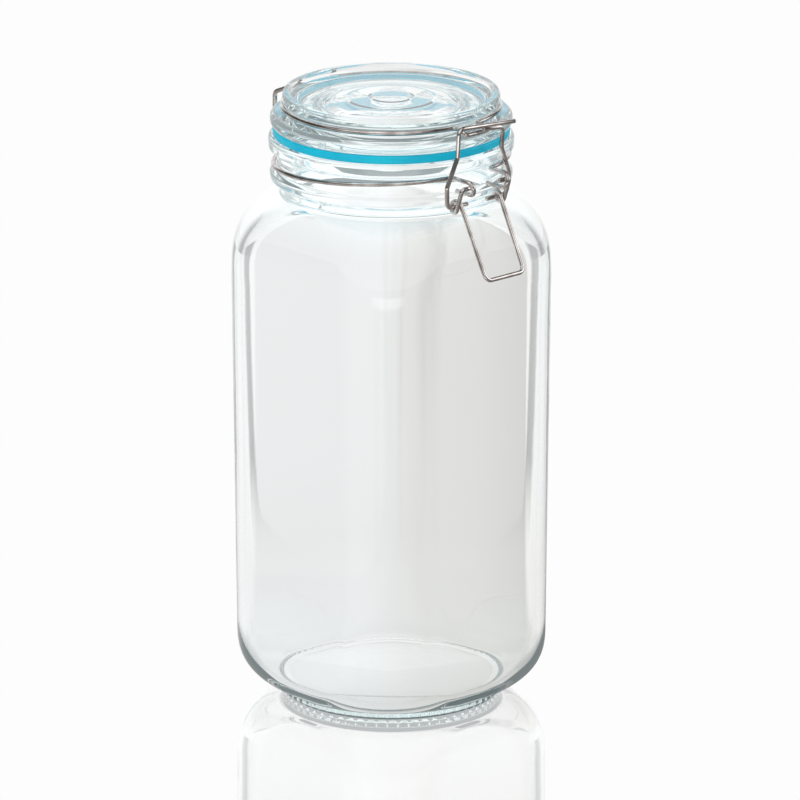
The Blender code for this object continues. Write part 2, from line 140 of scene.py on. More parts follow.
def bulge(start, end, powers, steps):
    """Rings (half, reach, height) along a smooth swelling, which leaves the start straight."""
    rings = []
    for k in range(steps + 1):
        rise = math.sin(math.pi / 2 * k / steps)
        keep = (1 - rise ** powers[0]) ** (1 / powers[1])
        half = end[0] + (start[0] - end[0]) * keep
        reach = end[1] + (start[1] - end[1]) * keep
        rings.append((half, reach, start[2] + (end[2] - start[2]) * rise))
    return rings


def round_rings(rows):
    """Rings (half, reach, height) of a round part, from rows in mm."""
    return [(radius, radius, height) for radius, height in rounded_profile(rows)]


# %% [markdown]
# The outside is listed from the middle of the foot upwards and the inside from the rim down, so
# that the skin closes on itself and the glass has its real thickness. Thickness matters more
# than anything else for how glass looks: the dark and light lines at its edges come from it.

# %% The rings of the outside
WALL_LOW = (51.96 * MM, 62.56 * MM, 28.0 * MM)
WALL_HIGH = (53.29 * MM, 64.42 * MM, 177.65 * MM)
HEEL_POWERS = (2.93, 1.62)
SHOULDER_POWERS = (2.88, 1.27)
UNDERSIDE_MIDDLE = 1.0 * MM
FOOT_JOIN = (46.0 * MM, 46.0 * MM, 4.0 * MM)
NECK_JOIN = (44.8 * MM, 44.8 * MM, 209.63 * MM)

foot_rings = round_rings([
    (2.0, 1.0, 0), (18.0, 0.9, 40), (40.2, 0.0, 2.5), (43.2, 0.0, 0.8), (44.1, 1.2, 0.8),
    (44.3, 3.2, 0.8), (46.0, 4.0, 0),
])
heel_rings = bulge(WALL_LOW, FOOT_JOIN, HEEL_POWERS, 22)[::-1]
shoulder_rings = bulge(WALL_HIGH, NECK_JOIN, SHOULDER_POWERS, 30)
neck_rings = round_rings([
    (44.8, 209.63, 0), (44.8, 211.8, 3), (46.6, 214.6, 4), (48.8, 216.2, 1.4), (48.8, 218.9, 1.2),
    (46.0, 219.8, 1.2), (46.0, 227.9, 1.2), (49.4, 228.3, 1.5), (49.4, 233.6, 1.5),
    (45.5, 233.6, 0),
])
outer_rings = foot_rings[:-1] + heel_rings + shoulder_rings + neck_rings[1:]
print("the outside has", len(outer_rings), "rings")

# %% The rings of the inside
WALL = 3.7 * MM
INNER_FLOOR = (43.0 * MM, 43.0 * MM, 8.0 * MM)
INNER_LOW = (WALL_LOW[0] - WALL, WALL_LOW[1] - WALL, 30.0 * MM)
INNER_HIGH = (WALL_HIGH[0] - WALL, WALL_HIGH[1] - WALL, 175.0 * MM)
INNER_NECK = (40.3 * MM, 40.3 * MM, 205.5 * MM)
FLOOR_MIDDLE = 9.4 * MM

mouth_rings = round_rings([
    (45.5, 233.6, 0), (39.5, 233.6, 1.6), (39.5, 228.0, 8), (40.3, 216.0, 8), (40.3, 205.5, 0),
])
inner_shoulder_rings = bulge(INNER_HIGH, INNER_NECK, SHOULDER_POWERS, 26)[::-1]
inner_heel_rings = bulge(INNER_LOW, INNER_FLOOR, HEEL_POWERS, 20)
floor_rings = round_rings([(43.0, 8.0, 0), (41.0, 8.0, 3), (22.0, 9.0, 20), (2.0, 9.4, 0)])
inner_rings = mouth_rings[1:] + inner_shoulder_rings[1:] + inner_heel_rings + floor_rings[1:]
print("the inside has", len(inner_rings), "rings")

# %% [markdown]
# The foot of the real jar is finely knurled: short ribs run round the ring that it stands on, so
# that hot glass doesn't stick to the conveyor. Seen through the heel they flicker. They are made
# here as a small wave in the radius of the few rings near the table.

# %% The knurls of the foot
KNURLS = 64
KNURL_DEPTH = 0.22 * MM
KNURL_TOP = 3.4 * MM
KNURL_START = -0.4 * MM              # the wave fades in from just under the table
FOOT_EDGE = 43.0 * MM                # only what lies outside this radius is knurled


def knurl(angle, height, radius):
    """How far a rib or a groove of the foot moves the glass in or out."""
    if height > KNURL_TOP or radius < FOOT_EDGE:
        return 0.0
    fade = math.sin(math.pi * min(1.0, (height - KNURL_START) / KNURL_TOP))
    return KNURL_DEPTH * fade * math.cos(KNURLS * angle)


# %% [markdown]
# A loft needs three steps: the points of each ring, the faces between neighbouring rings, and a
# point at each end that closes the skin. Faces made by hand may point inwards, which would turn
# glass inside out, so they are all turned outwards at the end.

# %% Loft the body
def ring_row(shell, half, reach, height):
    """The points of one ring, counted round the axis from the front."""
    row = []
    for k in range(RING_POINTS):
        angle = math.tau * k / RING_POINTS
        radius = section_radius(half, reach, angle)
        radius += knurl(angle, height, radius)
        place = (radius * math.sin(angle), JAR_AXIS_Y - radius * math.cos(angle), height)
        row.append(shell.verts.new(place))
    return row


def finished_mesh(shell, name):
    """Turns the faces outwards, and gives the smooth mesh."""
    bmesh.ops.recalc_face_normals(shell, faces=shell.faces)
    mesh = bpy.data.meshes.new(name)
    shell.to_mesh(mesh)
    shell.free()
    mesh.shade_smooth()
    return mesh


def loft(name, rings, start_height, end_height):
    """A closed skin through the rings, with a point on the axis before and after them."""
    shell = bmesh.new()
    rows = [ring_row(shell, *ring) for ring in rings]
    first = shell.verts.new((0, JAR_AXIS_Y, start_height))
    last = shell.verts.new((0, JAR_AXIS_Y, end_height))
    for k in range(RING_POINTS):
        after = (k + 1) % RING_POINTS
        shell.faces.new((first, rows[0][after], rows[0][k]))
        shell.faces.new((last, rows[-1][k], rows[-1][after]))
        for lower, upper in zip(rows, rows[1:]):
            shell.faces.new((lower[k], lower[after], upper[after], upper[k]))
    return finished_mesh(shell, name)


def dress(name, mesh, body, slot, *solids):
    """Puts a mesh in the scene, on its body, in place of the solids that it stands for."""
    piece = bpy.data.objects.new(name, mesh)
    bpy.context.scene.collection.objects.link(piece)
    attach(piece, body)
    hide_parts(*solids)
    print(name, "has", len(mesh.polygons), "faces")
    return piece


body_mesh = loft("jar_body", outer_rings + inner_rings, UNDERSIDE_MIDDLE, FLOOR_MIDDLE)
jar_body = dress("jar_body", body_mesh, "jar", "clear_glass", "jar_glass")

# %% [markdown]
# ## The lid
# The lid is round, so it is turned: half of its outline, run round the axis. Blender's Screw
# modifier does this from an edge. Building the same rings by hand gives the loft's even point
# count and lets one function serve both glass pieces, so the lid is lofted through circles.
# On top it has a raised rim round a shallow recess, whose floor steps up towards the middle in
# fine moulded rings. Round its side runs the groove that the wire sits in, and below it a thick
# flange. Underneath, a hollow plug reaches down into the mouth. The rows run from the middle of
# the top, over the rim and down the outside, and back to the middle of the underside.

# %% Turn the lid
LID_TOP_MIDDLE = 248.9 * MM
LID_UNDERSIDE_MIDDLE = 244.6 * MM

lid_rings = round_rings([
    (1.0, 248.9, 0), (7.8, 248.8, 1.0), (8.6, 248.5, 0.8), (9.4, 248.7, 1.0),
    (17.0, 248.6, 2.0), (18.6, 248.3, 2.0), (29.6, 248.1, 2.0), (31.2, 247.8, 2.0),
    (37.6, 247.8, 1.5), (40.3, 250.6, 1.5), (41.4, 251.2, 0.9),
    (43.2, 251.2, 0.8), (43.75, 249.8, 0.8), (43.75, 247.6, 0.5), (42.4, 246.8, 0.5),
    (42.4, 243.6, 0.6), (46.9, 243.2, 1.6), (48.7, 241.6, 1.6), (48.7, 239.4, 1.2),
    (47.6, 237.5, 1.0), (37.2, 237.5, 0.5), (37.0, 234.4, 1.0), (35.6, 233.4, 0.9),
    (31.0, 233.8, 1.5), (29.2, 237.0, 3), (28.8, 243.0, 2.5), (24.0, 244.5, 5), (1.0, 244.6, 0),
])
lid_mesh = loft("lid_body", lid_rings, LID_TOP_MIDDLE, LID_UNDERSIDE_MIDDLE)
lid_body = dress("lid_body", lid_mesh, "lid", "clear_glass", "lid_glass")

# %% [markdown]
# ## The sealing ring
# A flat ring of silicone rubber lies between the rim and the flange. It is the one strong colour
# of the object, and most of the blue in the lid is this ring seen through the glass. Its profile
# closes on itself, so it is lofted without end points.

# %% Turn the sealing ring
def ring_mesh(name, rings):
    """A closed skin through the rings, from the last one back to the first."""
    shell = bmesh.new()
    rows = [ring_row(shell, *ring) for ring in rings]
    for lower, upper in zip(rows, rows[1:] + rows[:1]):
        for k in range(RING_POINTS):
            after = (k + 1) % RING_POINTS
            shell.faces.new((lower[k], lower[after], upper[after], upper[k]))
    return finished_mesh(shell, name)


seal_rings = round_rings([
    (42.0, 237.2, 0), (47.6, 237.2, 0.7), (47.6, 233.9, 0.7), (37.8, 233.9, 0.7),
    (37.8, 237.2, 0.7), (41.9, 237.2, 0),
])
seal_ring = dress("seal_ring", ring_mesh("seal_ring", seal_rings), "lid", "teal_rubber", "seal")

# %% [markdown]
# ## The bent wires
# Four wires of one thickness do all the work. One runs in the channel of the neck, with a square
# bar at the back and two eyes in front. One lies in the lid's groove, with two eyes on the back
# bar and a small nose in front. The lever turns in the neck wire's eyes, and the link hangs in
# the lever's coils and pulls its bar down over the nose. A curve with a round bevel would make
# each of them, but a swept mesh can also have domed cut ends and a coordinate along the wire,
# which the drawn metal finish needs.

# %% Sweep a wire along its route
WIRE_RADIUS = 0.95 * MM
WIRE_SIDES = 20
CAP_RINGS = [(0.9, 0.12), (0.62, 0.30)]   # share of the radius, and how far it stands out
CAP_MIDDLE = 0.1                          # the cap's last point stands out so much further


def frames_along(route):
    """Direction and two cross directions at each point, turned as little as possible."""
    ways = []
    for k in range(len(route)):
        before = route[max(k - 1, 0)]
        after = route[min(k + 1, len(route) - 1)]
        ways.append((after - before).normalized())
    side = ways[0].orthogonal().normalized()
    result = []
    for way in ways:
        side = (side - way * side.dot(way)).normalized()
        result.append((way, side, way.cross(side)))
    return result


def sweep(shell, route, layer):
    """Adds one wire along the route, with domed ends; the layer gets (length, turn)."""
    frames = frames_along(route)
    rings = []
    for share, stand in reversed(CAP_RINGS):
        rings.append((route[0] - frames[0][0] * stand * WIRE_RADIUS, frames[0], share))
    for place, triple in zip(route, frames):
        rings.append((place, triple, 1.0))
    for share, stand in CAP_RINGS:
        rings.append((route[-1] + frames[-1][0] * stand * WIRE_RADIUS, frames[-1], share))
    rows = []
    lengths = [0.0]
    for centre, (way, side, other), share in rings:
        row = []
        for k in range(WIRE_SIDES):
            turn = math.tau * k / WIRE_SIDES
            offset = side * math.cos(turn) + other * math.sin(turn)
            row.append(shell.verts.new(centre + offset * (share * WIRE_RADIUS)))
        rows.append(row)
    for (here, _, _), (there, _, _) in zip(rings, rings[1:]):
        lengths.append(lengths[-1] + (there - here).length)
    for j in range(len(rows) - 1):
        for k in range(WIRE_SIDES):
            after = (k + 1) % WIRE_SIDES
            face = shell.faces.new(
                (rows[j][k], rows[j][after], rows[j + 1][after], rows[j + 1][k]))
            corners = [(j, k), (j, k + 1), (j + 1, k + 1), (j + 1, k)]
            for loop, (along, around) in zip(face.loops, corners):
                loop[layer].uv = (lengths[along] / MM, around / WIRE_SIDES)
    start = shell.verts.new(rings[0][0] - frames[0][0] * CAP_MIDDLE * WIRE_RADIUS)
    end = shell.verts.new(rings[-1][0] + frames[-1][0] * CAP_MIDDLE * WIRE_RADIUS)
    for k in range(WIRE_SIDES):
        after = (k + 1) % WIRE_SIDES
        shell.faces.new((start, rows[0][after], rows[0][k]))
        shell.faces.new((end, rows[-1][k], rows[-1][after]))


def wire_mesh(name, route):
    """The mesh of one wire, with a coordinate that runs along it."""
    shell = bmesh.new()
    layer = shell.loops.layers.uv.new("along_wire")
    sweep(shell, route, layer)
    return finished_mesh(shell, name)


# %% [markdown]
# A route is told by its left half only, and mirrored, because all but the link are the same on
# both sides. Two shapes come back in each wire: an eye round a crosswise pin, and a half ring
# round the neck or the lid.

# %% Shapes that the wires share
def eye(out, up, start_deg, sweep_deg, across_from, across_to, radius):
    """Points round a crosswise pin, seen from its side; 0 is outwards and 90 is up."""
    steps = math.ceil(abs(sweep_deg) / 10)
    points = []
    for k in range(steps + 1):
        share = k / steps
        angle = math.radians(start_deg + sweep_deg * share)
        across = across_from + (across_to - across_from) * share
        points.append(at(across, out + radius * math.cos(angle), up + radius * math.sin(angle)))
    return points


def half_ring(radius, across_front, across_back, height_at, steps=70):
    """Points round the left half of a ring, from its front to its back."""
    start = math.asin(across_front / radius)
    end = math.pi - math.asin(across_back / radius)
    points = []
    for k in range(steps + 1):
        angle = start + (end - start) * k / steps
        out = radius * math.cos(angle)
        points.append(at(-radius * math.sin(angle), out, height_at(out)))
    return points


def mirrored(points):
    """The right half of a route that crosses the middle, in running order."""
    return [Vector((-point.x, point.y, point.z)) for point in reversed(points)]


# %% The wire round the neck
EYE_RADIUS = 2.25 * MM               # of an eye or coil, to the middle of its wire
EYELET_RADIUS = 2.8 * MM             # of the wider eyes in front, for the lever's pins
BEND_RADIUS = 2.6 * MM
NECK_WIRE_RADIUS = 47.35 * MM
NECK_WIRE_FRONT = 226.6 * MM         # its height at the clasp
HINGE_HEIGHT = 220.6 * MM
HINGE_OUT = 56.0 * MM                # the hinge bar lies so far behind the axis
HINGE_HALF = 13.2 * MM               # half the bar's length
TAIL_X = 8.3 * MM                    # where the eye's cut tail ends, beside the middle
TAIL_OUT = 47.2 * MM
EYELET_X = 10.3 * MM
NECK_RING_X = 13.3 * MM              # the ring starts here, to leave room for the bend
BEND_ROOM = 3 * MM
LEVER_OUT = 55.2 * MM                # the axis that the lever turns on
LEVER_UP = NECK_WIRE_FRONT - EYELET_RADIUS


def neck_height(out):
    """The ring slopes: it is higher at the clasp than at the hinge."""
    middle = (NECK_WIRE_FRONT + HINGE_HEIGHT) / 2
    return middle + (NECK_WIRE_FRONT - HINGE_HEIGHT) / 2 * out / NECK_WIRE_RADIUS


def neck_wire_half():
    """From the eye's cut tail round the lever's pin, along the neck and to the hinge bar."""
    tail = at(-TAIL_X, TAIL_OUT, LEVER_UP - EYELET_RADIUS)
    eyelet = eye(LEVER_OUT, LEVER_UP, -90, 180, -TAIL_X, -EYELET_X, EYELET_RADIUS)
    ring = half_ring(NECK_WIRE_RADIUS, NECK_RING_X, HINGE_HALF + BEND_ROOM, neck_height)
    front = softened(
        [eyelet[-1], at(-EYELET_X, NECK_WIRE_RADIUS - 0.9 * MM, NECK_WIRE_FRONT), ring[0]],
        BEND_RADIUS)
    back = softened([
        ring[-1],
        at(-HINGE_HALF, 1.6 * MM - NECK_WIRE_RADIUS, HINGE_HEIGHT),
        at(-HINGE_HALF, -HINGE_OUT, HINGE_HEIGHT),
        at(0, -HINGE_OUT, HINGE_HEIGHT),
    ], BEND_RADIUS)
    return [tail] + eyelet + front[1:-1] + ring + back[1:-1]


neck_half = neck_wire_half()
neck_bail = dress("neck_bail", wire_mesh("neck_bail", neck_half + mirrored(neck_half)),
                  "jar", "steel_wire", "neck_wire")

# %% The wire round the lid
LID_WIRE_RADIUS = 43.75 * MM
LID_WIRE_UP = 245.6 * MM
LID_ARM_X = 9.9 * MM                 # the two arms at the back stand so far from the middle
ARM_FOOT_UP = 240.8 * MM             # and go straight up to here
NOSE_X = 6.0 * MM                    # half the width of the nose
NOSE_OUT = 50.0 * MM
NOSE_UP = 243.9 * MM


def lid_height(out):
    """The ring round the lid is level."""
    return LID_WIRE_UP


def lid_wire_half():
    """From the eye on the hinge bar up the arm, round the lid and out to the nose."""
    ring = half_ring(LID_WIRE_RADIUS, NOSE_X + BEND_ROOM, LID_ARM_X + BEND_ROOM, lid_height)
    hinge_eye = eye(-HINGE_OUT, HINGE_HEIGHT, 90, -270, -LID_ARM_X, -LID_ARM_X, EYE_RADIUS)
    arm = softened([
        hinge_eye[-1],
        at(-LID_ARM_X, -HINGE_OUT - EYE_RADIUS, ARM_FOOT_UP),
        at(-LID_ARM_X, -LID_WIRE_RADIUS - 4 * MM, LID_WIRE_UP - 0.2 * MM),
        at(-LID_ARM_X, -LID_WIRE_RADIUS + 1 * MM, LID_WIRE_UP),
        ring[-1],
    ], BEND_RADIUS)
    nose = softened([
        ring[0],
        at(-NOSE_X, LID_WIRE_RADIUS - 0.4 * MM, LID_WIRE_UP),
        at(-NOSE_X, LID_WIRE_RADIUS + 3.8 * MM, LID_WIRE_UP),
        at(-NOSE_X, NOSE_OUT, NOSE_UP),
        at(0, NOSE_OUT, NOSE_UP),
    ], BEND_RADIUS)
    return hinge_eye + arm[1:-1] + ring[::-1] + nose[1:-1]


lid_half = lid_wire_half()
lid_bail = dress("lid_bail", wire_mesh("lid_bail", lid_half + mirrored(lid_half)),
                 "lid", "steel_wire", "lid_wire")

# %% The lever
LINK_OUT = 50.0 * MM                 # the axis of the coils, that the link turns on
LINK_UP = 215.6 * MM
CRANK_X = 12.95 * MM
HANDLE_X = 10.7 * MM                 # half the handle's width, at the top and at the end
HANDLE_END_X = 10.3 * MM
HANDLE_OUT = 66.6 * MM
HANDLE_UP = 188.0 * MM
HANDLE_BEND = 2.8 * MM
PIN_BEND = 1.6 * MM
PIN_END_X = 7.0 * MM


def lever_half():
    """From the left pin down the crank, round the coil and down the handle."""
    crank = (LINK_OUT - LEVER_OUT, LINK_UP - LEVER_UP)
    leg = (HANDLE_OUT - LINK_OUT, HANDLE_UP - LINK_UP)
    arrive = math.atan2(crank[1], crank[0]) + math.asin(EYE_RADIUS / math.hypot(*crank))
    leave = math.atan2(leg[1], leg[0]) - math.asin(EYE_RADIUS / math.hypot(*leg))
    sweep_deg = -(math.degrees(arrive - leave) % 360)
    start_deg = math.degrees(arrive) + 90
    coil = eye(LINK_OUT, LINK_UP, start_deg, sweep_deg, -CRANK_X, -HANDLE_X, EYE_RADIUS)
    pin = softened([
        at(-PIN_END_X, LEVER_OUT, LEVER_UP),
        at(-CRANK_X, LEVER_OUT, LEVER_UP),
        coil[0],
    ], PIN_BEND)
    handle = softened([
        coil[-1],
        at(-HANDLE_END_X, HANDLE_OUT, HANDLE_UP),
        at(0, HANDLE_OUT, HANDLE_UP),
    ], HANDLE_BEND)
    return pin[:-1] + coil + handle[1:-1]


lever_route = lever_half()
lever_wire = dress("lever_wire", wire_mesh("lever_wire", lever_route + mirrored(lever_route)),
                   "lever", "steel_wire", "lever")

# %% [markdown]
# The link is the one wire that isn't the same on both sides. Its two ends meet along the bar,
# one under the other, and are welded there. One end goes on past the right leg. The two swept
# halves are joined with a Boolean, which cuts away what lies inside the weld.

# %% The link
LINK_BAR_OUT = 52.4 * MM
LINK_BAR_LEFT = 248.1 * MM           # the bar's height at its left corner
LINK_BAR_RIGHT = 245.9 * MM          # and at the loose end
LINK_TOP_X = 12.0 * MM
LINK_STUB_X = 18.2 * MM              # the loose end, past the right leg
LINK_PIN_X = 5.4 * MM
LINK_FOOT_X = 16.2 * MM
LINK_KNEE_X = 16.9 * MM              # the legs are widest here, where they pass the neck
LINK_KNEE_UP = 224.5 * MM
LINK_SHOULDER_UP = 236.2 * MM
LAP_END_X = 1.3 * MM
LAP_SPACING = 1.5 * MM


def link_out(up):
    """The link leans: it stands further out towards its bar."""
    share = (up - LINK_UP) / (LINK_BAR_LEFT - LINK_UP)
    return LINK_OUT + (LINK_BAR_OUT - LINK_OUT) * share


def bar_height(across):
    """The bar slopes down to the right, as one end lies on the other there."""
    share = (across + LINK_TOP_X) / (LINK_STUB_X + LINK_TOP_X)
    return LINK_BAR_LEFT + (LINK_BAR_RIGHT - LINK_BAR_LEFT) * share


def link_leg(side):
    """From the pin in the lever's coil up one leg; side is -1 for left and 1 for right."""
    return [
        at(side * LINK_PIN_X, LINK_OUT, LINK_UP),
        at(side * LINK_FOOT_X, LINK_OUT, LINK_UP),
        at(side * LINK_KNEE_X, link_out(LINK_KNEE_UP), LINK_KNEE_UP),
        at(side * LINK_TOP_X, link_out(LINK_SHOULDER_UP), LINK_SHOULDER_UP),
    ]


upper_link = softened(link_leg(-1) + [
    at(-LINK_TOP_X, LINK_BAR_OUT, bar_height(-LINK_TOP_X)),
    at(LINK_STUB_X, LINK_BAR_OUT, bar_height(LINK_STUB_X)),
], BEND_RADIUS)
lower_link = softened(link_leg(1) + [
    at(LINK_TOP_X, LINK_BAR_OUT, bar_height(LINK_TOP_X) - LAP_SPACING),
    at(LAP_END_X, LINK_BAR_OUT, bar_height(LAP_END_X) - LAP_SPACING),
], BEND_RADIUS)


def welded(name, first_route, second_route):
    """One mesh from two swept wires that lie a little inside each other."""
    pieces = []
    for number, route in enumerate((first_route, second_route)):
        piece = bpy.data.objects.new("half_%d" % number, wire_mesh("half_%d" % number, route))
        bpy.context.scene.collection.objects.link(piece)
        pieces.append(piece)
    weld = pieces[0].modifiers.new("weld", "BOOLEAN")
    weld.operation = "UNION"
    weld.object = pieces[1]
    graph = bpy.context.evaluated_depsgraph_get()
    mesh = bpy.data.meshes.new_from_object(pieces[0].evaluated_get(graph))
    mesh.name = name
    mesh.shade_smooth()
    for piece in pieces:
        bpy.data.objects.remove(piece)
    return mesh


link_wire = dress("link_wire", welded("link_wire", upper_link, lower_link),
                  "link", "steel_wire", "link")

# %% [markdown]
# ## Clear glass
# Glass has almost no colour of its own. What the eye reads is bent light, reflections and a
# faint blue-green where the light runs a long way inside it. So the surface is a Principled
# shader with full transmission, and the tint is a volume that swallows a little red with
# depth, as the iron in cheap glass does. Pressed glass is never quite flat, so a weak bump with
# two sizes of wave makes the lines seen through it wander.

# %% Node helpers
def new_material(name):
    """A material with its nodes, its links and its Principled shader."""
    material = bpy.data.materials.new(name)
    material.use_nodes = True
    nodes = material.node_tree.nodes
    return material, nodes, material.node_tree.links, nodes["Principled BSDF"]


def noise(nodes, links, coordinate, scale, detail=2.0, stretch=None):
    """A noise of so many waves a metre, stretched along an axis if asked."""
    texture = nodes.new("ShaderNodeTexNoise")
    texture.inputs["Scale"].default_value = scale
    texture.inputs["Detail"].default_value = detail
    if stretch is None:
        links.new(coordinate, texture.inputs["Vector"])
        return texture.outputs["Fac"]
    mapping = nodes.new("ShaderNodeMapping")
    mapping.inputs["Scale"].default_value = stretch
    links.new(coordinate, mapping.inputs["Vector"])
    links.new(mapping.outputs["Vector"], texture.inputs["Vector"])
    return texture.outputs["Fac"]


def bump(nodes, links, height, strength, distance, under=None):
    """Turns a height into a tilt of the surface, over an earlier bump if there is one."""
    relief = nodes.new("ShaderNodeBump")
    relief.inputs["Strength"].default_value = strength
    relief.inputs["Distance"].default_value = distance
    links.new(height, relief.inputs["Height"])
    if under is not None:
        links.new(under, relief.inputs["Normal"])
    return relief.outputs["Normal"]


# %% [markdown]
# Many finishes here change gradually along some number: a height, a direction or a noise. A
# colour ramp does that, but it only takes numbers from 0 to 1, so one helper scales the number
# first. Below the first step and above the last one the colour stays as it is there.

# %% A grade of colours
def grey(level):
    """A grey as a colour."""
    return (level, level, level)


def grade(nodes, links, value, steps, blend="EASE"):
    """Colours at steps (place, (r, g, b)) of a value, blended between them."""
    low, high = steps[0][0], steps[-1][0]
    spread = nodes.new("ShaderNodeMapRange")
    spread.inputs["From Min"].default_value = low
    spread.inputs["From Max"].default_value = high
    links.new(value, spread.inputs["Value"])
    shade = nodes.new("ShaderNodeValToRGB")
    ramp = shade.color_ramp
    ramp.interpolation = blend
    for place, colour in steps[1:-1]:
        ramp.elements.new((place - low) / (high - low))
    for element, (place, colour) in zip(ramp.elements, steps):
        element.color = (*colour, 1.0)
    links.new(spread.outputs["Result"], shade.inputs["Fac"])
    return shade.outputs["Color"]


# %% [markdown]
# In thick glass light is thrown to and fro many times. The renderer follows it only so far, and
# leaves black where it stops. A very faint glow on the surface makes up for that: each time that
# a ray meets the surface it picks up a little light. Thin walls need almost none, the heel some
# and the rim the most, so the body's glow is graded by height. The lid is thick all over.

# %% Glass for the body and the lid
GLASS_IOR = 1.5
GLASS_GLOW_COLOUR = (0.86, 0.97, 1.0, 1.0)
GLASS_TINT = (0.72, 0.90, 0.90, 1.0)
TINT_DENSITY = 9.0                   # per metre of glass
SLOW_WAVES, FINE_WAVES = 34.0, 210.0  # on a metre of glass
BODY_GLOW = [(0, 0.032), (26, 0.032), (50, 0.018), (197, 0.018), (207, 0.072), (233, 0.072)]
LID_GLOW = 0.045


def glass_material(name, wave, ripple, glow):
    """Clear glass. The glow is one strength, or steps of (height in mm, strength)."""
    material, nodes, links, shader = new_material(name)
    shader.inputs["Base Color"].default_value = (1.0, 1.0, 1.0, 1.0)
    shader.inputs["Transmission Weight"].default_value = 1.0
    shader.inputs["Roughness"].default_value = 0.0
    shader.inputs["IOR"].default_value = GLASS_IOR
    shader.inputs["Emission Color"].default_value = GLASS_GLOW_COLOUR
    place = nodes.new("ShaderNodeTexCoord").outputs["Object"]
    if isinstance(glow, list):
        parts = nodes.new("ShaderNodeSeparateXYZ")
        links.new(place, parts.inputs["Vector"])
        steps = [(height * MM, grey(strength)) for height, strength in glow]
        strength = grade(nodes, links, parts.outputs["Z"], steps, "LINEAR")
        links.new(strength, shader.inputs["Emission Strength"])
    else:
        shader.inputs["Emission Strength"].default_value = glow
    slow = noise(nodes, links, place, SLOW_WAVES, 1.0)
    fine = noise(nodes, links, place, FINE_WAVES, 2.0)
    uneven = bump(nodes, links, slow, wave, 1.0 * MM)
    uneven = bump(nodes, links, fine, ripple, 0.2 * MM, uneven)
    links.new(uneven, shader.inputs["Normal"])
    tint = nodes.new("ShaderNodeVolumeAbsorption")
    tint.inputs["Color"].default_value = GLASS_TINT
    tint.inputs["Density"].default_value = TINT_DENSITY
    links.new(tint.outputs["Volume"], nodes["Material Output"].inputs["Volume"])
    print(name, "is ready")
    return material


body_glass = glass_material("pressed_glass_body", 0.12, 0.05, BODY_GLOW)
lid_glass = glass_material("pressed_glass_lid", 0.18, 0.08, LID_GLOW)
jar_body.data.materials.append(body_glass)
lid_body.data.materials.append(lid_glass)

# %% [markdown]
# ## Silicone rubber
# The ring is translucent: light enters it, scatters and leaves again, so its edge glows where a
# painted one would look flat. Subsurface scattering gives that. Little light reaches a ring that
# lies between two pieces of glass, so it also glows a little in its own colour. The colour
# drifts between two blues, and a fine grain from the mould keeps the gloss soft.

# %% Rubber for the sealing ring
DEEP_TEAL = (0.0, 0.34, 0.50)
LIGHT_TEAL = (0.0, 0.44, 0.58)
RUBBER_GLOW = 0.45


def rubber_material():
    """Satin silicone in two blues that lie close together."""
    material, nodes, links, shader = new_material("teal_silicone")
    place = nodes.new("ShaderNodeTexCoord").outputs["Object"]
    drift = noise(nodes, links, place, 60.0, 3.0)
    teal = grade(nodes, links, drift, [(0.3, DEEP_TEAL), (0.75, LIGHT_TEAL)], "LINEAR")
    links.new(teal, shader.inputs["Base Color"])
    links.new(teal, shader.inputs["Emission Color"])
    shader.inputs["Emission Strength"].default_value = RUBBER_GLOW
    shader.inputs["Roughness"].default_value = 0.45
    shader.inputs["Subsurface Weight"].default_value = 0.4
    shader.inputs["Subsurface Scale"].default_value = 2.0 * MM
    grain = bump(nodes, links, noise(nodes, links, place, 2500.0, 2.0), 0.15, 0.05 * MM)
    links.new(grain, shader.inputs["Normal"])
    return material


seal_ring.data.materials.append(rubber_material())

# %% [markdown]
# ## Drawn steel wire
# Stainless wire is pulled through a die, which leaves fine lines along it, and it is a little
# dull where it was bent. The sweep gave each wire a coordinate along its length, so a noise that
# is stretched along it makes the lines, and a slow noise makes the duller stretches.

# %% Steel for the wires
DULL_STEEL = (0.40, 0.36, 0.34)
BRIGHT_STEEL = (0.78, 0.73, 0.71)
SMOOTHEST, ROUGHEST = 0.06, 0.18


def steel_material():
    """Drawn wire, with fine lines along it and duller stretches."""
    material, nodes, links, shader = new_material("drawn_steel_wire")
    shader.inputs["Metallic"].default_value = 1.0
    along = nodes.new("ShaderNodeUVMap")
    along.uv_map = "along_wire"
    place = nodes.new("ShaderNodeTexCoord").outputs["Object"]
    lines = noise(nodes, links, along.outputs["UV"], 1.0, 3.0, stretch=(0.15, 26.0, 1.0))
    patches = noise(nodes, links, place, 160.0, 2.0)
    colour = grade(nodes, links, patches, [(0.3, DULL_STEEL), (0.7, BRIGHT_STEEL)], "LINEAR")
    links.new(colour, shader.inputs["Base Color"])
    gloss = nodes.new("ShaderNodeMapRange")
    gloss.inputs["To Min"].default_value = SMOOTHEST
    gloss.inputs["To Max"].default_value = ROUGHEST
    links.new(lines, gloss.inputs["Value"])
    links.new(gloss.outputs["Result"], shader.inputs["Roughness"])
    relief = bump(nodes, links, lines, 0.12, 0.05 * MM)
    links.new(relief, shader.inputs["Normal"])
    return material


wire_steel = steel_material()
for wire_piece in (neck_bail, lid_bail, lever_wire, link_wire):
    wire_piece.data.materials.append(wire_steel)
    print(wire_piece.name, "is made of", wire_steel.name)
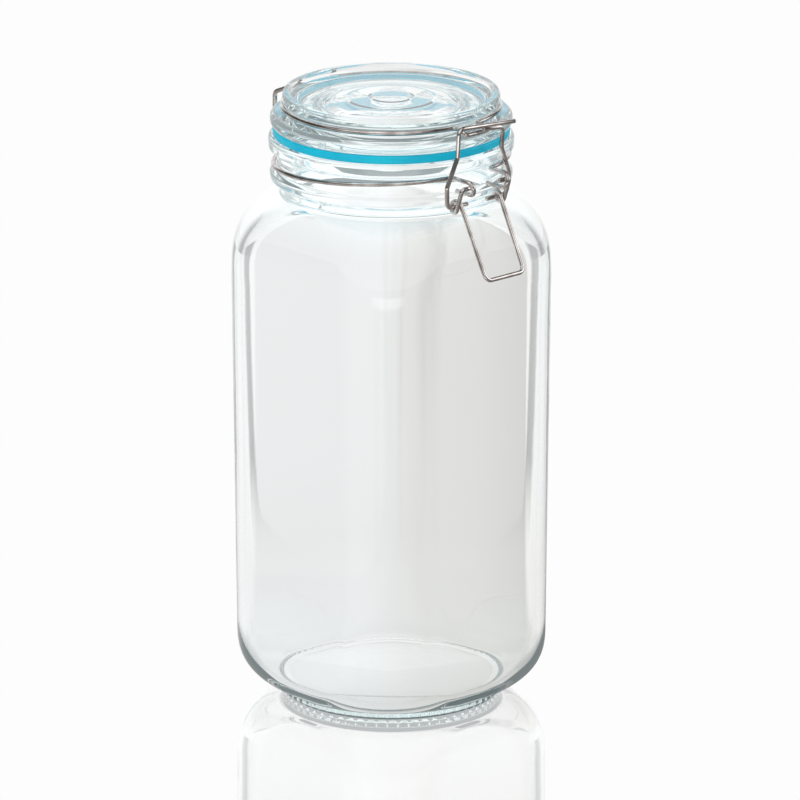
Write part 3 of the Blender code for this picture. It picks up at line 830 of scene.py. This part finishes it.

# %% [markdown]
# ## The studio
# Clear glass in front of white needs something darker beside it, or its edges vanish, and bright
# wire needs something dark to mirror. A photographer stands grey cards outside the picture.
# Cards could be modelled, but they would stand in the way of views from other sides. Here the
# floor and the world play their part, by the Light Path node. What is seen directly is plain
# white, what shows through the glass is softly graded, and what the wires mirror has more
# contrast. All grades are laid out along the photograph's line of sight, so its directions come
# first.

# %% The view's directions
VIEW_AZIMUTH = math.radians(-43.0)
VIEW_ELEVATION = math.radians(17.0)
towards_camera = Vector((
    math.sin(VIEW_AZIMUTH) * math.cos(VIEW_ELEVATION),
    -math.cos(VIEW_AZIMUTH) * math.cos(VIEW_ELEVATION),
    math.sin(VIEW_ELEVATION),
))
to_the_right = Vector((math.cos(VIEW_AZIMUTH), math.sin(VIEW_AZIMUTH), 0))
upwards = towards_camera.cross(to_the_right)
level_ahead = Vector((-math.sin(VIEW_AZIMUTH), math.cos(VIEW_AZIMUTH), 0))


# %% Helpers for light
def along_way(nodes, links, vector, way):
    """How far a vector reaches along a direction."""
    product = nodes.new("ShaderNodeVectorMath")
    product.operation = "DOT_PRODUCT"
    product.inputs[1].default_value = way
    links.new(vector, product.inputs[0])
    return product.outputs["Value"]


def combine(nodes, links, kind, first, second):
    """Two colours multiplied, or the lighter of both."""
    mix = nodes.new("ShaderNodeMix")
    mix.data_type = "RGBA"
    mix.blend_type = kind
    mix.clamp_result = False
    mix.inputs["Factor"].default_value = 1.0
    links.new(first, mix.inputs["A"])
    links.new(second, mix.inputs["B"])
    return mix.outputs["Result"]


def warm(level):
    """A grey that leans a little to the warm side, as in the right half of the photograph."""
    return (level * 1.025, level, level * 0.965)


def shine(nodes, colour, kind="Emission"):
    """A shader that shines in one colour or in a linked one: Emission, or Background."""
    light = nodes.new("ShaderNode" + kind)
    if isinstance(colour, tuple):
        light.inputs["Color"].default_value = (*colour, 1.0)
    else:
        nodes.id_data.links.new(colour, light.inputs["Color"])
    return light.outputs[kind]


def sky(nodes, colour):
    """The same for the world."""
    return shine(nodes, colour, "Background")


def chosen_by(nodes, links, ray_kind, others, these):
    """One shader for rays of the named kind, and another for all others."""
    mix = nodes.new("ShaderNodeMixShader")
    links.new(nodes.new("ShaderNodeLightPath").outputs[ray_kind], mix.inputs["Fac"])
    links.new(others, mix.inputs[1])
    links.new(these, mix.inputs[2])
    return mix.outputs["Shader"]


def seen_by(nodes, links, direct, through, mirrored):
    """One shader for what is seen directly, one for glass and one for mirrored rays."""
    bounced = chosen_by(nodes, links, "Is Transmission Ray", mirrored, through)
    return chosen_by(nodes, links, "Is Camera Ray", bounced, direct)


# %% [markdown]
# The lid, the neck and the shoulder show the world. Through the glass its far side is darker,
# which draws their curves, and the right is a little darker than the left.

# %% The world through the glass
def world_through(nodes, links, direction):
    """Graded by how far ahead and how far right a ray goes."""
    ahead = grade(nodes, links, along_way(nodes, links, direction, level_ahead), [
        (-1.0, grey(0.92)), (-0.3, grey(0.88)), (-0.05, grey(0.60)), (0.3, grey(0.40)),
        (0.75, grey(0.40)), (0.9, grey(1.0)),
    ])
    across = grade(nodes, links, along_way(nodes, links, direction, to_the_right), [
        (-0.4, grey(0.96)), (-0.1, grey(0.90)), (0.1, warm(0.78)), (0.4, grey(0.90)),
    ])
    return combine(nodes, links, "MULTIPLY", ahead, across)


# %% [markdown]
# The wires would look like grey plastic in an even light. They mirror a dark room with a white
# far wall and four bright round windows, which leave a fine line of light along each bend.

# %% The room that the wires mirror
# azimuth (0 is over the camera and right is positive), elevation and spread in degrees, level
WINDOWS = [(-40, 48, 20, 1.5), (10, 34, 10, 1.8), (98, 18, 14, 2.6), (-5, 72, 14, 1.6)]
WINDOW_EDGE = 0.16                   # how soft a window's edge is, as a change of cosine


def soft_window(nodes, links, direction, azimuth_deg, elevation_deg, spread_deg, level):
    """A round soft light in the world."""
    azimuth, elevation = math.radians(azimuth_deg), math.radians(elevation_deg)
    level_way = to_the_right * math.sin(azimuth) - level_ahead * math.cos(azimuth)
    way = level_way * math.cos(elevation) + Vector((0, 0, math.sin(elevation)))
    facing = along_way(nodes, links, direction, way)
    edge = math.cos(math.radians(spread_deg))
    dark = edge - WINDOW_EDGE
    steps = [(dark, grey(0.0)), (edge, grey(level * 0.6)), (1.0, grey(level))]
    return grade(nodes, links, facing, steps)


def world_mirrored(nodes, links, direction):
    """The dark room, its far wall and its windows."""
    room = grade(nodes, links, along_way(nodes, links, direction, level_ahead), [
        (-1.0, grey(0.12)), (0.0, grey(0.08)), (0.75, grey(0.12)), (0.93, grey(1.0)),
    ])
    for window in WINDOWS:
        room = combine(
            nodes, links, "LIGHTEN", room, soft_window(nodes, links, direction, *window))
    return room


# %% [markdown]
# A perfectly smooth face mirrors neither, but a plain pale sky. So the glossy floor stays pale
# from all sides, and the glass has no hard round spots.

# %% The world around the jar
PALE_SKY = grey(0.97)


def white_surroundings():
    """Puts the world together, with an answer for each kind of ray."""
    world = bpy.data.worlds.new("studio")
    bpy.context.scene.world = world
    world.use_nodes = True
    nodes, links = world.node_tree.nodes, world.node_tree.links
    nodes.clear()
    direction = nodes.new("ShaderNodeTexCoord").outputs["Generated"]
    through = sky(nodes, world_through(nodes, links, direction))
    room = sky(nodes, world_mirrored(nodes, links, direction))
    mirrored = chosen_by(nodes, links, "Is Singular Ray", room, sky(nodes, PALE_SKY))
    output = nodes.new("ShaderNodeOutputWorld")
    surface = seen_by(nodes, links, sky(nodes, grey(1.0)), through, mirrored)
    links.new(surface, output.inputs["Surface"])
    print("the world has", len(WINDOWS), "windows")


white_surroundings()

# %% [markdown]
# Walls that stand upright show and mirror only the floor, since the camera looks down on them.
# So the floor is graded as the world is, round the jar's foot. First come the numbers that the
# grades run along: how far right and how far ahead a place on the floor lies, how far away it is,
# and in which direction from the foot.

# %% Places on the floor
FLOOR_HALF = 6.0


def floor_places(nodes, links):
    """Where a place on the floor lies, as seen from the jar's foot."""
    place = nodes.new("ShaderNodeTexCoord").outputs["Object"]
    from_foot = nodes.new("ShaderNodeVectorMath")
    from_foot.operation = "SUBTRACT"
    from_foot.inputs[1].default_value = at(0, 0, 0)
    links.new(place, from_foot.inputs[0])
    way = nodes.new("ShaderNodeVectorMath")
    way.operation = "NORMALIZE"
    links.new(from_foot.outputs["Vector"], way.inputs[0])
    distance = nodes.new("ShaderNodeVectorMath")
    distance.operation = "LENGTH"
    links.new(from_foot.outputs["Vector"], distance.inputs[0])
    return {
        "right": along_way(nodes, links, from_foot.outputs["Vector"], to_the_right),
        "ahead": along_way(nodes, links, from_foot.outputs["Vector"], level_ahead),
        "distance": distance.outputs["Value"],
        "way_right": along_way(nodes, links, way.outputs["Vector"], to_the_right),
        "way_ahead": along_way(nodes, links, way.outputs["Vector"], level_ahead),
    }


# %% [markdown]
# Through the glass the right half of the floor is darker and warmer than the left, as in the
# photograph. Two darker sectors run away from the jar a little beside the line of sight. The
# bent edges of the walls look there, and so they get their dark lines. The floor near the foot
# stays light, because the base of the jar shows it.

# %% What the floor shows through the glass
def floor_through(nodes, links, spot):
    """Six grades, of which some multiply and some only lighten."""
    sideways = grade(nodes, links, spot["right"], [
        (-0.10, grey(1.0)), (-0.065, grey(0.86)), (-0.02, grey(0.85)), (0.03, warm(0.73)),
        (0.065, warm(0.64)), (0.09, warm(0.95)), (0.25, grey(1.0)),
    ])
    lengthways = grade(nodes, links, spot["ahead"], [
        (-1.5, grey(0.95)), (-0.12, grey(0.88)), (0.05, grey(0.90)), (0.35, grey(0.96)),
        (0.6, grey(0.97)), (1.5, grey(0.92)),
    ])
    sectors = grade(nodes, links, spot["way_right"], [
        (-0.46, grey(1.0)), (-0.38, grey(0.42)), (-0.29, grey(0.42)), (-0.22, grey(1.0)),
        (0.22, grey(1.0)), (0.29, grey(0.42)), (0.38, grey(0.42)), (0.46, grey(1.0)),
    ])
    near = grade(nodes, links, spot["distance"], [(0.18, grey(1.0)), (0.45, grey(0.0))])
    roundabout = grade(nodes, links, spot["way_ahead"], [
        (-1.0, grey(0.92)), (-0.4, grey(0.85)), (-0.1, grey(0.78)), (0.15, grey(0.78)),
        (0.45, grey(1.0)),
    ])
    under = grade(nodes, links, spot["distance"], [(0.08, grey(0.92)), (0.2, grey(0.0))])
    sectors = combine(nodes, links, "LIGHTEN", sectors, near)
    roundabout = combine(nodes, links, "MULTIPLY", roundabout, sectors)
    roundabout = combine(nodes, links, "LIGHTEN", roundabout, under)
    level = combine(nodes, links, "MULTIPLY", sideways, lengthways)
    return combine(nodes, links, "MULTIPLY", level, roundabout)


# %% [markdown]
# What is mirrored is darker on the whole: lighter on the left than on the right, white behind
# the jar where it is seen at a flat angle, and with one bright strip in front. The flat front
# wall mirrors the strip as a soft highlight.

# %% What the floor shows in a mirror
def floor_mirrored(nodes, links, spot):
    """A warm grade across, a white far side and a strip in front."""
    beside = grade(nodes, links, spot["way_right"], [
        (-1.0, warm(0.42)), (-0.85, warm(0.70)), (-0.5, warm(0.55)), (0.0, warm(0.45)),
        (0.5, warm(0.28)), (1.0, warm(0.24)),
    ])
    behind = grade(nodes, links, spot["way_ahead"], [
        (0.80, grey(0.0)), (0.96, grey(0.90)), (1.0, grey(0.95)),
    ])
    strip = grade(nodes, links, spot["ahead"], [
        (-1.2, grey(0.0)), (-0.95, grey(2.2)), (-0.72, grey(2.2)), (-0.60, grey(0.0)),
    ])
    narrow = grade(nodes, links, spot["way_ahead"], [(-0.95, grey(1.0)), (-0.85, grey(0.0))])
    level = combine(nodes, links, "LIGHTEN", beside, behind)
    strip = combine(nodes, links, "MULTIPLY", strip, narrow)
    return combine(nodes, links, "LIGHTEN", level, strip)


# %% [markdown]
# Seen directly, the floor is white acrylic: partly a light of its own, so that it stays white,
# and partly a mirror, so that the jar stands on its own picture.

# %% The glossy white floor
FLOOR_GLOSS = 0.6                    # the share that mirrors


def floor_direct(nodes, links):
    """White that shines by itself, mixed with a sharp mirror."""
    gloss = nodes.new("ShaderNodeBsdfGlossy")
    gloss.inputs["Color"].default_value = (1.0, 1.0, 1.0, 1.0)
    gloss.inputs["Roughness"].default_value = 0.0
    mix = nodes.new("ShaderNodeMixShader")
    mix.inputs["Fac"].default_value = FLOOR_GLOSS
    links.new(shine(nodes, grey(1.0)), mix.inputs[1])
    links.new(gloss.outputs["BSDF"], mix.inputs[2])
    return mix.outputs["Shader"]


def white_floor():
    """The floor belongs to the picture, and not to the part."""
    mesh = bpy.data.meshes.new("floor")
    signs = [(-1, -1), (1, -1), (1, 1), (-1, 1)]
    corners = [(FLOOR_HALF * x, FLOOR_HALF * y, 0) for x, y in signs]
    mesh.from_pydata(corners, [], [(0, 1, 2, 3)])
    floor = bpy.data.objects.new("floor", mesh)
    bpy.context.scene.collection.objects.link(floor)
    material, nodes, links, shader = new_material("white_acrylic")
    nodes.remove(shader)
    spot = floor_places(nodes, links)
    through = shine(nodes, floor_through(nodes, links, spot))
    mirrored = shine(nodes, floor_mirrored(nodes, links, spot))
    surface = seen_by(nodes, links, floor_direct(nodes, links), through, mirrored)
    links.new(surface, nodes["Material Output"].inputs["Surface"])
    mesh.materials.append(material)
    print("the floor is", 2 * FLOOR_HALF, "metres wide")


white_floor()

# %% [markdown]
# The world and the floor give nearly all of the light. One real area light adds a soft side to
# the rubber and the wires. It is hidden from mirrored rays and from rays through glass, because
# its hard outline would look like a square printed on the jar.

# %% The soft light
JAR_MIDDLE = at(0, 0, 0.13)
LAMP_WATTS = 7.0

lamp_data = bpy.data.lights.new("upper_left_softbox", "AREA")
lamp_data.shape = "RECTANGLE"
lamp_data.size = 0.6
lamp_data.size_y = 0.9
lamp_data.energy = LAMP_WATTS
lamp = bpy.data.objects.new("upper_left_softbox", lamp_data)
bpy.context.scene.collection.objects.link(lamp)
lamp.location = JAR_MIDDLE - to_the_right * 0.9 - level_ahead * 0.7 + Vector((0, 0, 0.9))
lamp.rotation_euler = (JAR_MIDDLE - lamp.location).to_track_quat("-Z", "Y").to_euler()
lamp.visible_glossy = False
lamp.visible_transmission = False
print("the lamp is %.2f m away from the jar" % (JAR_MIDDLE - lamp.location).length)

# %% [markdown]
# ## The camera
# The jar was photographed with a long lens from a little above, turned so that the clasp is at
# the right. The lines of the rim, the lid and the foot give the height of the camera: the
# flatter the ellipses, the lower it is. A camera five metres away with a long lens has the same
# weak perspective. The Standard view transform keeps white as white.

# %% Place the camera
SENSOR_WIDTH = 36.0
AIM_HEIGHT = 0.120
CAMERA_DISTANCE = 5.0
PIXELS_PER_METRE = 2478.0            # at the jar's middle, in a frame 800 pixels wide
FRAME_PIXELS = 800
AIM_RIGHT = 8.7 / PIXELS_PER_METRE   # the jar stands a little left of the frame's middle
AIM_UP = 3.9 / PIXELS_PER_METRE

camera_data = bpy.data.cameras.new("catalogue_camera")
camera_data.sensor_width = SENSOR_WIDTH
camera_data.lens = SENSOR_WIDTH * PIXELS_PER_METRE * CAMERA_DISTANCE / FRAME_PIXELS
camera = bpy.data.objects.new("catalogue_camera", camera_data)
bpy.context.scene.collection.objects.link(camera)
aim_point = at(0, 0, AIM_HEIGHT) + to_the_right * AIM_RIGHT + upwards * AIM_UP
camera.location = aim_point + towards_camera * CAMERA_DISTANCE
camera.rotation_euler = (-towards_camera).to_track_quat("-Z", "Y").to_euler()
camera_data.clip_end = 50.0
bpy.context.scene.camera = camera
bpy.context.scene.view_settings.view_transform = "Standard"
print("lens %.1f mm" % camera_data.lens)
